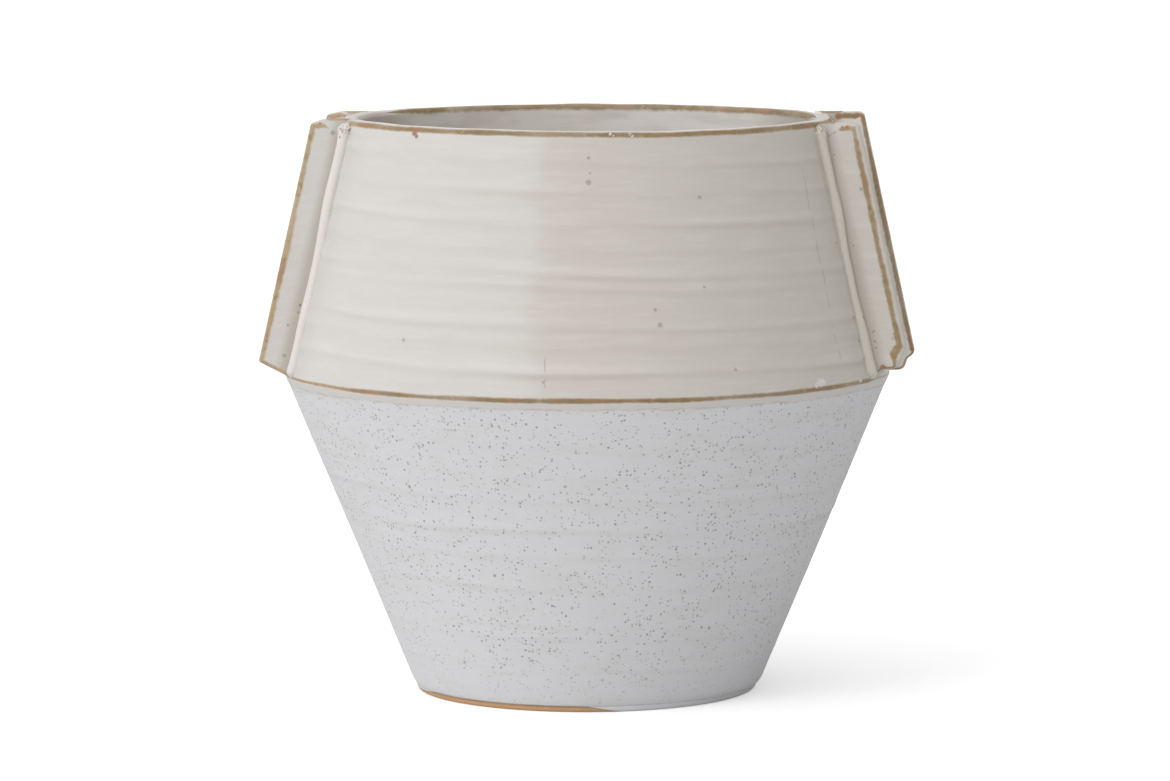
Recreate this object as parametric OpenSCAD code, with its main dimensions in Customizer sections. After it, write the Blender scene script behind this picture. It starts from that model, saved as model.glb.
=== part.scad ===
// Two-tone stoneware flower pot, built from a base slab set into a flaring
// lower wall, an upper wall that meets it at a sharp shoulder, four upright
// slab fins and the clay coils that seal each fin to the wall. The origin is
// at the middle of the foot, on the surface that the pot stands on, and the
// fins stand on the +X and -X sides.

/* [Pot] */
// Height of the pot from the foot to the top of the lip
pot_h = 200; // [160:1:240]
// Height of the shoulder, where the two walls meet
shoulder_z = 111.5; // [90:0.5:130]
// Radius outside at the shoulder
shoulder_r = 105.5; // [98:0.5:120]
// Radius outside just under the lip
rim_r = 84.9; // [75:0.1:92]
// Radius that the lower wall's slope reaches at the floor
foot_cone_r = 59.6; // [50:0.1:75]
// Thickness of both walls, measured level
wall_t = 6; // [4.5:0.5:9]
// Rounding of the lip's two edges
lip_round_r = 1.8; // [1:0.1:2.2]

/* [Base] */
// Thickness of the base slab
slab_t = 6; // [4:0.5:10]
// Height of the foot ring under the wall and the slab
foot_h = 2; // [1.7:0.1:4]
// Width of the foot ring
foot_w = 9; // [7:0.5:16]
// Step in from the wall's edge to the foot ring
foot_step = 0.4; // [0.1:0.1:3]
// Rounding of the foot ring's lower edges
foot_round = 1.6; // [0.3:0.1:1.9]

/* [Throwing ridges] */
// Height of one throwing ridge, from groove to groove
ridge_pitch = 8.7; // [6:0.1:14]
// Depth of the grooves on the upper wall
upper_ridge_d = 0.4; // [0.1:0.05:0.8]
// Depth of the grooves on the lower wall
lower_ridge_d = 0.25; // [0.1:0.05:0.8]

/* [Fins] */
// Thickness of each fin
fin_t = 6; // [4:0.5:8]
// How much more a fin stands out at the lip than at the shoulder
fin_gain = 1.5; // [-2:0.1:4]
// How far the fins' tops lie below the top of the lip
fin_drop = 0.6; // [0.5:0.1:1]
// Rounding of the long edges of a fin
fin_round = 2.2; // [1:0.1:2.4]
// Radius of a fin's upper outer corner
fin_corner_r = 2.5; // [1:0.1:6]

/* [Front left fin] */
// Angle round the pot from its left side to this fin
turn_front_left = 18; // [14:0.5:21]
// How far it stands out past the shoulder
reach_front_left = 7.3; // [5:0.1:12]
// Height of its lower corner above the shoulder
toe_front_left = 5; // [3:0.5:14]
// Radius of that corner
toe_r_front_left = 1.2; // [1:0.1:2]

/* [Back left fin] */
// Angle round the pot from its left side to this fin
turn_back_left = 15.5; // [14:0.5:21]
// How far it stands out past the shoulder
reach_back_left = 6.9; // [5:0.1:12]
// Height of its lower corner above the shoulder
toe_back_left = 5; // [3:0.5:14]
// Radius of that corner
toe_r_back_left = 1.5; // [1:0.1:2]

/* [Front right fin] */
// Angle round the pot from its right side to this fin
turn_front_right = 15.5; // [14:0.5:21]
// How far it stands out past the shoulder
reach_front_right = 7.2; // [5:0.1:12]
// Height of its lower corner above the shoulder
toe_front_right = 12; // [3:0.5:14]
// Radius of that corner
toe_r_front_right = 1.8; // [1:0.1:2]

/* [Back right fin] */
// Angle round the pot from its right side to this fin
turn_back_right = 17; // [14:0.5:21]
// How far it stands out past the shoulder
reach_back_right = 9.2; // [7:0.1:12]
// Height of its lower corner above the shoulder
toe_back_right = 3.5; // [3:0.5:14]
// Radius of that corner
toe_r_back_right = 4.5; // [1:0.1:5]

/* [Sealing coils] */
// Diameter of the clay coils in the corners between fin and wall
coil_d = 4.4; // [3:0.1:6]
// Distance from a fin's face to the middle of its coil
coil_off = 1.3; // [0.6:0.1:1.4]
// How far the middle of a coil stands off the wall
coil_sit = 0.4; // [0.1:0.1:1.2]
// Distance from the top of a coil to the top of the lip
coil_top_gap = 3.2; // [3:0.1:8]

/* [Hidden] */

// Overrun of every cut past the face that it leaves
over = 1;
// Facets of true rounds and of the rounds that other pieces seat on
$fn = 96;
seat_fn = 720;
// Straight steps in a throwing ridge and in a rounded corner
ridge_steps = 6;
arc_steps = 6;

bare_clay = [0.79, 0.62, 0.44];
matt_white = [0.80, 0.80, 0.80];
glaze = [0.84, 0.81, 0.77];
coil_glaze = [0.90, 0.87, 0.84];

slab_top = foot_h + slab_t;
lip_z = pot_h - lip_round_r;
coil_r = coil_d / 2;
fin_top = pot_h - fin_drop;
fin_tall = fin_top - shoulder_z;
fin_slant = atan2(shoulder_r - rim_r - fin_gain, fin_tall);

// Each fin: its sides of the pot, its angle, its reach, and its lower corner's height and radius
front_left = [-1, -1, turn_front_left, reach_front_left, toe_front_left, toe_r_front_left];
back_left = [-1, 1, turn_back_left, reach_back_left, toe_back_left, toe_r_back_left];
front_right = [1, -1, turn_front_right, reach_front_right, toe_front_right, toe_r_front_right];
back_right = [1, 1, turn_back_right, reach_back_right, toe_back_right, toe_r_back_right];

// Outer radius of the plain lower cone at height z
function lower_r(z) = foot_cone_r + (shoulder_r - foot_cone_r) * z / shoulder_z;

// Outer radius of the plain upper cone at height z
function upper_r(z) = shoulder_r + (rim_r - shoulder_r) * (z - shoulder_z) / (lip_z - shoulder_z);

// Distance from the pot's middle plane to the middle of a fin, under the lip
// and at the shoulder, and the lean that takes it from one to the other
function top_y(turn) = rim_r * sin(turn);
function low_y(turn) = shoulder_r * sin(turn);
function lean(turn) = atan2(low_y(turn) - top_y(turn), fin_tall);

// Distance of a fin's inner end from the middle, inside the lip
function inner_x(turn) = sqrt(pow(rim_r - wall_t / 2, 2) - pow(top_y(turn), 2));

// Distance of a fin's outer edge from the middle at height z
function edge_x(reach, z) = shoulder_r + reach - (z - shoulder_z) * tan(fin_slant);

// Outline of a wall from one end of a cone to the other, with throwing
// grooves of depth d pressed into it and none of it past the plain cone
function thrown_line(low, high, d) =
    let (n = max(1, round((high.y - low.y) / ridge_pitch)), steps = n * ridge_steps)
    [for (i = [0 : steps]) low + (high - low) * i / steps
        - [d * (1 - cos(i * 360 / ridge_steps)) / 2, 0]];

function unit(v) = v / norm(v);

// Arc of radius r that rounds the corner b between the points a and c
function round_corner(a, b, c, r) =
    let (
        u = unit(a - b),
        v = unit(c - b),
        half = acos(u * v) / 2,
        middle = b + unit(u + v) * r / sin(half),
        start = b + u * r / tan(half) - middle,
        finish = b + v * r / tan(half) - middle,
        from = atan2(start.y, start.x),
        turn = (atan2(finish.y, finish.x) - from + 540) % 360 - 180
    )
    [for (i = [0 : arc_steps]) middle + r * [cos(from + turn * i / arc_steps),
        sin(from + turn * i / arc_steps)]];

upper_line = thrown_line([shoulder_r, shoulder_z], [rim_r, lip_z], upper_ridge_d);
lower_line = thrown_line([lower_r(foot_h), foot_h], [shoulder_r, shoulder_z], lower_ridge_d);

module lip_round() {
    outer = rim_r - lip_round_r;
    inner = rim_r - wall_t + lip_round_r;
    translate([inner, lip_z - over]) square([outer - inner, over + lip_round_r]);
    for (middle = [inner, outer])
        translate([middle, lip_z]) circle(lip_round_r);
}

// Everything inside the upper wall's outer face, for seating what it carries
module upper_fill() {
    rotate_extrude($fn = seat_fn) {
        polygon(concat([[0, shoulder_z - over], [shoulder_r, shoulder_z - over]], upper_line, [[0, lip_z]]));
        lip_round();
    }
}

module base_slab() {
    color(matt_white)
        translate([0, 0, foot_h])
        cylinder(h = slab_t, r1 = lower_r(foot_h) - wall_t, r2 = lower_r(slab_top) - wall_t);
}

module foot_ring() {
    outer = lower_r(foot_h) - foot_step;
    color(bare_clay)
        rotate_extrude()
        intersection() {
            translate([outer - foot_w, 0]) square([foot_w, foot_h]);
            union() {
                translate([outer - foot_w, foot_round]) square([foot_w, foot_h]);
                translate([outer - foot_w + foot_round, 0]) square([foot_w - 2 * foot_round, foot_h]);
                translate([outer - foot_round, foot_round]) circle(foot_round);
                translate([outer - foot_w + foot_round, foot_round]) circle(foot_round);
            }
        }
}

module lower_wall() {
    color(matt_white)
        rotate_extrude()
        polygon(concat(lower_line, [[shoulder_r - wall_t, shoulder_z], [lower_r(foot_h) - wall_t, foot_h]]));
}

module upper_wall() {
    color(glaze)
        rotate_extrude() {
            polygon(concat(upper_line, [[rim_r - wall_t, lip_z], [shoulder_r - wall_t, shoulder_z]]));
            lip_round();
        }
}

// Side outline of a fin, with x outwards and y up
module fin_outline(turn, reach, toe, toe_r) {
    foot = [inner_x(turn), shoulder_z];
    seat = [sqrt(pow(shoulder_r, 2) - pow(low_y(turn) + fin_t / 2, 2)), shoulder_z];
    heel = [edge_x(reach, shoulder_z + toe), shoulder_z + toe];
    tip = [edge_x(reach, fin_top), fin_top];
    head = [inner_x(turn), fin_top];
    polygon(concat(
        [foot, seat],
        round_corner(seat, heel, tip, toe_r),
        round_corner(heel, tip, head, fin_corner_r),
        [head]
    ));
}

// Section across a fin, its rounded edge at x = 0 and the rest behind it
module fin_section(depth) {
    flat = fin_t - 2 * fin_round;
    translate([-depth, -fin_t / 2]) square([depth - fin_round, fin_t]);
    translate([-depth, -flat / 2]) square([depth, flat]);
    for (side = [-1, 1])
        translate([-fin_round, side * flat / 2]) circle(fin_round);
}

// One fin, upright and in the plane y = 0
module fin_blank(turn, reach, toe, toe_r) {
    out = shoulder_r + reach;
    wide = out - inner_x(turn);
    intersection() {
        rotate([90, 0, 0]) linear_extrude(fin_t, center = true) fin_outline(turn, reach, toe, toe_r);
        translate([out, 0, shoulder_z]) rotate([0, -fin_slant, 0])
            translate([0, 0, -wide]) linear_extrude(fin_tall + 2 * wide) fin_section(fin_tall + wide);
        translate([out + over, 0, fin_top]) rotate([0, -90, 0])
            linear_extrude(wide + 2 * over) fin_section(fin_tall + over);
    }
}

// Stands what is upright in the plane y = 0 at its angle on the +X +Y side of
// the wall, leaning with the wall, and mirrors it to the fin's own side
module at_fin(fin) {
    turn = fin[2];
    mirror([fin.x < 0 ? 1 : 0, 0, 0]) mirror([0, fin.y < 0 ? 1 : 0, 0])
        translate([0, top_y(turn), fin_top]) rotate([lean(turn), 0, 0]) translate([0, 0, -fin_top])
        children();
}

module slab_fin(fin) {
    color(glaze)
        difference() {
            at_fin(fin) fin_blank(fin[2], fin[3], fin[4], fin[5]);
            upper_fill();
        }
}

// Point of a coil's middle line in its fin's own frame: across from the
// middle of the fin and down from its top
function coil_point(turn, across, down) =
    let (
        y = top_y(turn) + across * cos(lean(turn)) + down * sin(lean(turn)),
        z = fin_top + across * sin(lean(turn)) - down * cos(lean(turn))
    )
    [sqrt(pow(upper_r(z) + coil_sit, 2) - pow(y, 2)), across, fin_top - down];

// Rod of clay along +Z, with a round top end
module coil_rod(length) {
    rotate_extrude() {
        square([coil_r, length]);
        intersection() {
            translate([0, length]) circle(coil_r);
            square([coil_r, length + coil_r]);
        }
    }
}

// One coil on the outer (way = 1) or inner (way = -1) face of a fin, trimmed
// level with the shoulder and rounded off under the lip
module coil(fin, way) {
    turn = fin[2];
    across = way * (fin_t / 2 + coil_off);
    low = coil_point(turn, across, fin_tall + coil_r);
    high = coil_point(turn, across, coil_top_gap + coil_r - fin_drop);
    slope = atan2(high.x - low.x, high.z - low.z);
    color(coil_glaze)
        difference() {
            at_fin(fin) difference() {
                translate(low) rotate([0, slope, 0]) coil_rod(norm(high - low));
                translate([0, -fin_t / 2, 0]) cube([low.x + coil_d, fin_t, pot_h]);
            }
            cylinder(h = shoulder_z, r = shoulder_r + coil_d);
            upper_fill();
        }
}

module fin_front_left() { slab_fin(front_left); }
module fin_back_left() { slab_fin(back_left); }
module fin_front_right() { slab_fin(front_right); }
module fin_back_right() { slab_fin(back_right); }
module coil_front_left_outer() { coil(front_left, 1); }
module coil_front_left_inner() { coil(front_left, -1); }
module coil_back_left_outer() { coil(back_left, 1); }
module coil_back_left_inner() { coil(back_left, -1); }
module coil_front_right_outer() { coil(front_right, 1); }
module coil_front_right_inner() { coil(front_right, -1); }
module coil_back_right_outer() { coil(back_right, 1); }
module coil_back_right_inner() { coil(back_right, -1); }

base_slab();
foot_ring();
lower_wall();
upper_wall();
fin_front_left();
fin_back_left();
fin_front_right();
fin_back_right();
coil_front_left_outer();
coil_front_left_inner();
coil_back_left_outer();
coil_back_left_inner();
coil_front_right_outer();
coil_front_right_inner();
coil_back_right_outer();
coil_back_right_inner();
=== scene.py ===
import math

import bmesh
import bpy
import numpy as np
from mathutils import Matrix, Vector


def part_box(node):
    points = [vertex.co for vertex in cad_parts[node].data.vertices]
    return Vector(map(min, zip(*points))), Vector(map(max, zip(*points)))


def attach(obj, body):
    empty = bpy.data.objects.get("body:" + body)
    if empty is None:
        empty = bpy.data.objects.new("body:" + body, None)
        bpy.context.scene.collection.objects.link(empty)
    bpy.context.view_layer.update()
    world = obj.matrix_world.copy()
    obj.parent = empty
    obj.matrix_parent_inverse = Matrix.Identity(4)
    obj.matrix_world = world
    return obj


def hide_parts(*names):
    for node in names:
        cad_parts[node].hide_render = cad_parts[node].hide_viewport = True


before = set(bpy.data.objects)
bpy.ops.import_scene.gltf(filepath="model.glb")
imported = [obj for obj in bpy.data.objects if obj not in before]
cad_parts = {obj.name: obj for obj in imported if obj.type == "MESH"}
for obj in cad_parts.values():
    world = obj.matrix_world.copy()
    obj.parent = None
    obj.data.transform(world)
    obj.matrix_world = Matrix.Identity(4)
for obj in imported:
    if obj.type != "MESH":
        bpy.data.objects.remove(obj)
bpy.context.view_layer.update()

MM = 0.001
TAU = 2 * math.pi


# Sizes read from the frame, in millimetres
def box_mm(node):
    low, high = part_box(node)
    return low / MM, high / MM


def points_mm(node):
    return [v.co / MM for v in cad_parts[node].data.vertices]


def reach_mm(node, low, high):
    """Largest distance from the pot's axis of a node's points between two heights."""
    return max(math.hypot(p.x, p.y) for p in points_mm(node) if low <= p.z <= high)


# A point this close to a height is taken to lie on it
CLOSE = 0.1
WALL_LOW, WALL_HIGH = box_mm("lower_wall")
SHOULDER_Z = WALL_HIGH.z
SHOULDER_R = WALL_HIGH.x
FOOT_Z = WALL_LOW.z
FOOT_R = reach_mm("lower_wall", FOOT_Z - CLOSE, FOOT_Z + CLOSE)
RING_INNER_R = min(math.hypot(p.x, p.y) for p in points_mm("foot_ring"))
WALL_T = FOOT_R - reach_mm("base_slab", FOOT_Z - CLOSE, FOOT_Z + CLOSE)
FLOOR_Z = box_mm("base_slab")[1].z
LIP_Z = box_mm("upper_wall")[1].z
LIP_ROUND = 1.8
RIM_R = reach_mm("upper_wall", LIP_Z - LIP_ROUND - CLOSE, LIP_Z)
TAPER = (SHOULDER_R - RIM_R) / (LIP_Z - LIP_ROUND - SHOULDER_Z)

# What the hands left uneven: how much in millimetres, at which angle and over
# how many degrees to each side. Angles are from +X, so the front is at -90
RIM_DIP = (0.55, -68, 50)
SHOULDER_LIFT = (0.5, -25, 40)
TUCK_RIGHT = (1.6, -20, 75)
TUCK_LEFT = (0.65, -170, 80)
TUCK_LEAST = 0.25
TUCK_HEIGHT = 6
WALL_SWAY = 0.16
WALL_SWAY_FULL_Z = 30
EDGE_SWAY = 0.12

# Throwing lines by height and strength, where each one passes +X
RIDGE_PITCH = 8.7
UPPER_LINES = ((119.3, 1.0), (128.0, 0.5), (134.0, 1.0), (146.6, 0.55), (151.0, 0.7),
               (159.2, 0.5), (167.7, 0.9), (178.2, 0.55), (188.2, 0.6))
LOWER_LINES = ((14.0, 0.6), (25.2, 0.6), (30.0, 0.5), (43.0, 0.7), (55.0, 0.6),
               (64.2, 1.0), (75.0, 0.9), (79.6, 0.5), (84.0, 0.6), (93.5, 0.4))


# Smooth random fields, the same at each run
def make_sway(seed, waves, most_turns, shortest, longest):
    """A field of angle and height, about -1 to 1, that closes on itself round the pot."""
    chance = np.random.default_rng(seed)
    turns = chance.integers(1, most_turns + 1, waves)
    rates = TAU / chance.uniform(shortest, longest, waves) * chance.choice([-1, 1], waves)
    starts = chance.uniform(0, TAU, waves)

    def sway(angle, height):
        total = sum(np.sin(t * angle + r * height + s) for t, r, s in zip(turns, rates, starts))
        return total / math.sqrt(waves)
    return sway


wall_sway = make_sway(seed=3, waves=7, most_turns=3, shortest=90, longest=260)
line_sway = make_sway(seed=8, waves=9, most_turns=5, shortest=25, longest=120)
strength_sway = make_sway(seed=21, waves=9, most_turns=7, shortest=20, longest=90)
edge_sway = make_sway(seed=34, waves=10, most_turns=24, shortest=60, longest=200)


def smooth(value, low, high):
    """0 below low, 1 above high and an even bend between them."""
    share = np.clip((value - low) / (high - low), 0, 1)
    return share * share * (3 - 2 * share)


def window(value, start, full, still_full, end):
    """1 from full to still_full, with an even bend to 0 at start and end."""
    return smooth(value, start, full) * (1 - smooth(value, still_full, end))


def press(angle, much, middle, width):
    """Most at one angle in degrees, falling off evenly to 0 at width degrees on both sides."""
    away = np.abs((np.degrees(angle) - middle + 180) % 360 - 180)
    return much * (1 - smooth(away, 0, width))


def wobble(angle, height):
    """How far the whole pot strays from round, from the foot up."""
    return WALL_SWAY * wall_sway(angle, height) * smooth(height, 0, WALL_SWAY_FULL_Z)


def foot_tuck(angle, height):
    """How far the foot is drawn in, most of all on the right."""
    tuck = press(angle, *TUCK_RIGHT) + press(angle, *TUCK_LEFT) + TUCK_LEAST
    return tuck * (1 - smooth(height, 0, TUCK_HEIGHT)) ** 2


# Lines with rounded corners, and what is turned from them
def rounded_line(corners, step):
    """Points about a step apart along corners (x, y, radius), each one rounded by an arc."""
    places = [np.array(c[:2], float) for c in corners]
    line = [places[0]]
    for before, here, after, corner in zip(places, places[1:], places[2:], corners[1:]):
        back = (before - here) / np.linalg.norm(before - here)
        on = (after - here) / np.linalg.norm(after - here)
        half = math.acos(np.clip(back @ on, -1, 1)) / 2
        length = corner[2] / math.tan(half)
        middle = here + (back + on) / np.linalg.norm(back + on) * corner[2] / math.sin(half)
        start, finish = here + back * length - middle, here + on * length - middle
        turn = math.pi - 2 * half
        count = max(6, round(corner[2] * turn / step * 2))
        for i in range(count + 1):
            share = i / count
            mix = (math.sin((1 - share) * turn) * start + math.sin(share * turn) * finish)
            line.append(middle + mix / math.sin(turn))
    line.append(places[-1])
    filled = [line[0]]
    for before, here in zip(line, line[1:]):
        count = max(1, round(np.linalg.norm(here - before) / step))
        filled += [before + (here - before) * (i + 1) / count for i in range(count)]
    return np.array(filled)


def along(section):
    """Distance travelled along a section, in millimetres."""
    return np.concatenate([[0], np.cumsum(np.linalg.norm(np.diff(section, axis=0), axis=1))])


def all_round(sides):
    """Angles of places round the pot."""
    return np.linspace(-math.pi, math.pi, sides, endpoint=False)


def turn_section(section, angles):
    """Radius, height and angle of each point of a section at each angle."""
    radius = section[:, 0][:, None] + 0 * angles[None, :]
    height = section[:, 1][:, None] + 0 * angles[None, :]
    return radius, height, angles[None, :] + 0 * radius


def turned(radius, height, angle):
    """Points from their radius, height and angle."""
    return np.stack([radius * np.cos(angle), radius * np.sin(angle), height], -1)


# Meshes from rows of points
def net_faces(rows, around, ring):
    """Faces over rows of points. The last row meets the first in a ring, or both ends are closed off."""
    faces = []
    for i in range(rows if ring else rows - 1):
        for j in range(around):
            a, b = i * around, (i + 1) % rows * around
            c, d = j, (j + 1) % around
            faces.append((a + c, b + c, b + d, a + d))
    if not ring:
        faces.append(tuple(range(around)))
        faces.append(tuple(range((rows - 1) * around, rows * around)))
    return faces


def add(name, data):
    """A new object in the scene."""
    made = bpy.data.objects.new(name, data)
    bpy.context.scene.collection.objects.link(made)
    return made


def mesh_piece(name, net, ring, marks):
    """A smooth closed piece over rows of points in millimetres, with a number at each point for each mark."""
    mesh = bpy.data.meshes.new(name)
    mesh.from_pydata((net.reshape(-1, 3) * MM).tolist(), [], net_faces(*net.shape[:2], ring))
    for mark, values in marks.items():
        layer = mesh.attributes.new(mark, "FLOAT", "POINT")
        layer.data.foreach_set("value", np.asarray(values, np.float32).ravel())
    shape = bmesh.new()
    shape.from_mesh(mesh)
    bmesh.ops.recalc_face_normals(shape, faces=shape.faces)
    shape.to_mesh(mesh)
    shape.free()
    mesh.polygons.foreach_set("use_smooth", [True] * len(mesh.polygons))
    return add(name, mesh)


def dress(piece, slot, material, *nodes):
    """Puts a material on a piece and lets it stand for CAD nodes."""
    piece.data.materials.append(material)
    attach(piece, "root")
    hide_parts(*nodes)


# The fins. Each one is a little different: its lower and upper corners, in
# millimetres past the shoulder and the rim, with their radii, how round its
# outer edge is and how much its top is crowned. Its brown lines along the lower,
# outer and top edges have a width and a distance in from the edge of the face.
# Its coils sit a little way out from the wall, and further out in the upper half
# painted_light: how much a fin's faces are painted paler, as light in the shade between the fins
USUAL_FIN = dict(arris=0.8, painted_light=0.0, toe_line_from=-9, coil_sit=0.3, coil_out=0.4,
                 coil_thick=1.0, coil_lift=0.0, flare=0.1)
FINS = {
    "fin_front_left": dict(
        USUAL_FIN, side=-1, face=-1, seed=11, crown_top=2.7,
        lower=((-4.6, 0.2, 1.0), (5.5, 5.2, 1.2)),
        upper=((8.3, -0.7, 1.5), (3.6, 0.9, 8.0)),
        lines=((1.9, -0.4), (2.3, 0.0), (2.3, 0.2)), top_line_long=6.0,
        coil_sit=0.1, coil_out=0.85, flare=0.15),
    "fin_back_left": dict(
        USUAL_FIN, side=-1, face=1, seed=12, crown_top=0.6, painted_light=0.3,
        lower=((-4.6, 0.2, 1.0), (6.0, 5.0, 1.5)),
        upper=((9.3, -0.4, 1.4), (4.2, 0.8, 3.0)),
        lines=((0.8, -0.4), (1.0, -0.6), (2.3, 0.0)), top_line_long=7.0),
    "fin_front_right": dict(
        USUAL_FIN, side=1, face=-1, seed=13, arris=1.7, crown_top=1.7,
        lower=((-4.6, 0.6, 0.8), (-1.6, 3.9, 1.2), (2.8, 4.1, 2.2), (6.8, 11.4, 4.5)),
        upper=((10.7, -0.3, 2.6), (3.0, 0.4, 4.0)),
        lines=((2.3, 0.9), (2.0, 0.35), (2.7, -0.4)), top_line_long=6.5, toe_line_from=6.3,
        coil_sit=0.25, coil_out=0.8, coil_thick=0.86, coil_lift=0.9, flare=0.5),
    "fin_back_right": dict(
        USUAL_FIN, side=1, face=1, seed=14, crown_top=0.5, painted_light=0.6,
        lower=((-2.0, -2.3, 1.0), (4.0, -2.1, 2.8), (5.3, 1.9, 0.7), (8.0, 4.0, 2.6)),
        upper=((10.3, 1.5, 2.4),),
        lines=((0.9, -0.6), (1.9, -0.3), (3.1, 0.4)), top_line_long=9.0),
}
COIL_OFF = 1.3
TOP_BAND = 0.3


def wall_radius(height):
    return SHOULDER_R - TAPER * (height - SHOULDER_Z)


def fin_facts(name):
    """Sine of the angle from the pot's side to a fin, half its thickness and the height of its top."""
    low, high = box_mm(name)
    crown = [abs(p.y) for p in points_mm(name) if p.z > high.z - TOP_BAND]
    sine = (max(crown) + min(crown)) / 2 / wall_radius(high.z)
    half = max(abs(low.y), abs(high.y)) - SHOULDER_R * sine
    return sine, half, high.z


# The wall, from the foot over the shoulder and the lip to the floor inside
WALL_STEP = 0.8
WALL_SIDES = 480
SHOULDER_OUT = 0.1
SHOULDER_ROUND = 1.8
LIP_OUTER_ROUND = 1.3
LIP_INNER_ROUND = 1.8
LIP_SHARE = 0.93
INNER_ROUND = 8
LINE_HEIGHT = 0.26
LINE_ABOVE = 2.4
LINE_BELOW = 1.0
LINE_WANDER = 0.5
LINE_FLOOR = 0.3
LINE_LEAST = 0.1
LINE_USUAL = 0.75
LINE_CHANGE = 0.4
LINE_APART = 3.0
SEAM_DEGREES = (2, 16)
LOWER_SHARE = 0.37
UPPER_SWELL = 0.25
LOWER_SWELL = 0.2
INSIDE_SHARE = 0.35
# Painted shade just below each throwing line: how far below the line and how wide
LINE_SHADE_DROP = 1.9
LINE_SHADE_WIDTH = 0.9
FILLET_HEIGHT = 0.5
FILLET_WIDTH = 2.6
FILLET_RISE = 4
# A band beside the right coils that is painted darker as shade where they meet the wall
GROOVE_OUT = 2.6
GROOVE_WIDTH = 0.9
OVERLAP_H = 3.7
OVERLAP_SWAY = 0.28
OVERLAP_T = 0.13
OVERLAP_BEND = 0.5
RIM_LINE_DROP = 1.0
RIM_LINE = 1.9
INNER_LINE = 3.0
INNER_LINE_DROP = 0.5
INNER_LINE_SHARE = 0.2
SHOULDER_LINE = 1.6
WALL_RAGGED = 0.26
FAR = 50

# Heights where something starts, is full, is still full and has ended
HIGH_LINES = (SHOULDER_Z + 1.5, SHOULDER_Z + 5, LIP_Z - 6, LIP_Z - 2)
LOW_LINES = (5, 9, SHOULDER_Z - 6, SHOULDER_Z - 2)
AT_SHOULDER = (SHOULDER_Z - 5, SHOULDER_Z, SHOULDER_Z, SHOULDER_Z + 5)
ROUND_SHOULDER = (SHOULDER_Z - 30, SHOULDER_Z, SHOULDER_Z, SHOULDER_Z + 30)
AT_LIP = (LIP_Z - 5, LIP_Z)
BELOW_LIP = (LIP_Z - 40, LIP_Z)

# Where the brown lines are lost, by sine or cosine of the angle, and how much
LOST_MOST = 0.97
LOST_BESIDE_FINS = (0.12, 0.36)
LOST_MORE_BACK_LEFT = 0.23
LOST_UNDER_LEFT = (0.6, 0.9)
LOST_LEFT_SHARE = 0.4
LOST_UNDER_RIGHT = (0.94, 0.965)
LOST_RIGHT_SHARE = 0.85


def wall_section():
    """The wall's outline as (radius, height), from the foot outside to the foot inside."""
    outer_lip = RIM_R - TAPER * LIP_ROUND
    return rounded_line([
        (FOOT_R, FOOT_Z, 0),
        (SHOULDER_R + SHOULDER_OUT, SHOULDER_Z, SHOULDER_ROUND),
        (outer_lip, LIP_Z, LIP_OUTER_ROUND),
        (outer_lip - WALL_T * LIP_SHARE, LIP_Z, LIP_INNER_ROUND),
        (SHOULDER_R - WALL_T, SHOULDER_Z, INNER_ROUND),
        (FOOT_R - WALL_T, FOOT_Z, 0),
    ], WALL_STEP)


def throwing_relief(angle, height, lines):
    """The throwing lines, the broad swell and the shallow hollows between them, and a narrow band just below
    each line that is painted darker as shade, each about 0 to 1.
    """
    climb = height + RIDGE_PITCH * angle / TAU + LINE_WANDER * line_sway(angle, height)
    seam = smooth(180 - np.abs(np.degrees(angle)), *SEAM_DEGREES)
    crest = np.zeros_like(climb)
    line_shade = np.zeros_like(climb)
    swell = np.zeros_like(climb)
    for place, strength in lines:
        away = climb - place
        width = np.where(away > 0, LINE_ABOVE, LINE_BELOW)
        change = LINE_CHANGE * strength_sway(angle, place * LINE_APART + 0 * height)
        local = np.clip(strength * (LINE_USUAL + change), LINE_LEAST, None)
        crest += local * np.exp(-(away / width) ** 2)
        # Painted shade: a band just below each line's crest
        line_shade += local * np.exp(-((away + LINE_SHADE_DROP) / LINE_SHADE_WIDTH) ** 2)
        near = np.abs(away) < RIDGE_PITCH / 2
        swell += strength * np.cos(np.clip(away / RIDGE_PITCH, -0.5, 0.5) * TAU) * near
    return crest * seam, swell * seam, line_shade * seam


def from_coils(angle, height, sides):
    """Distance along the wall to the nearest coil's middle on some sides of the pot, in millimetres."""
    nearest_coil = FAR + 0 * height
    radius = wall_radius(height)
    for name, facts in FINS.items():
        if facts["side"] not in sides:
            continue
        sine, half, _ = fin_facts(name)
        local = np.arctan2(facts["face"] * np.sin(angle), facts["side"] * np.cos(angle))
        for way in (-1, 1):
            coil = np.arcsin(sine + way * (half + COIL_OFF) / radius)
            nearest_coil = np.minimum(nearest_coil, np.abs(radius * (local - coil)))
    return nearest_coil


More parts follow.
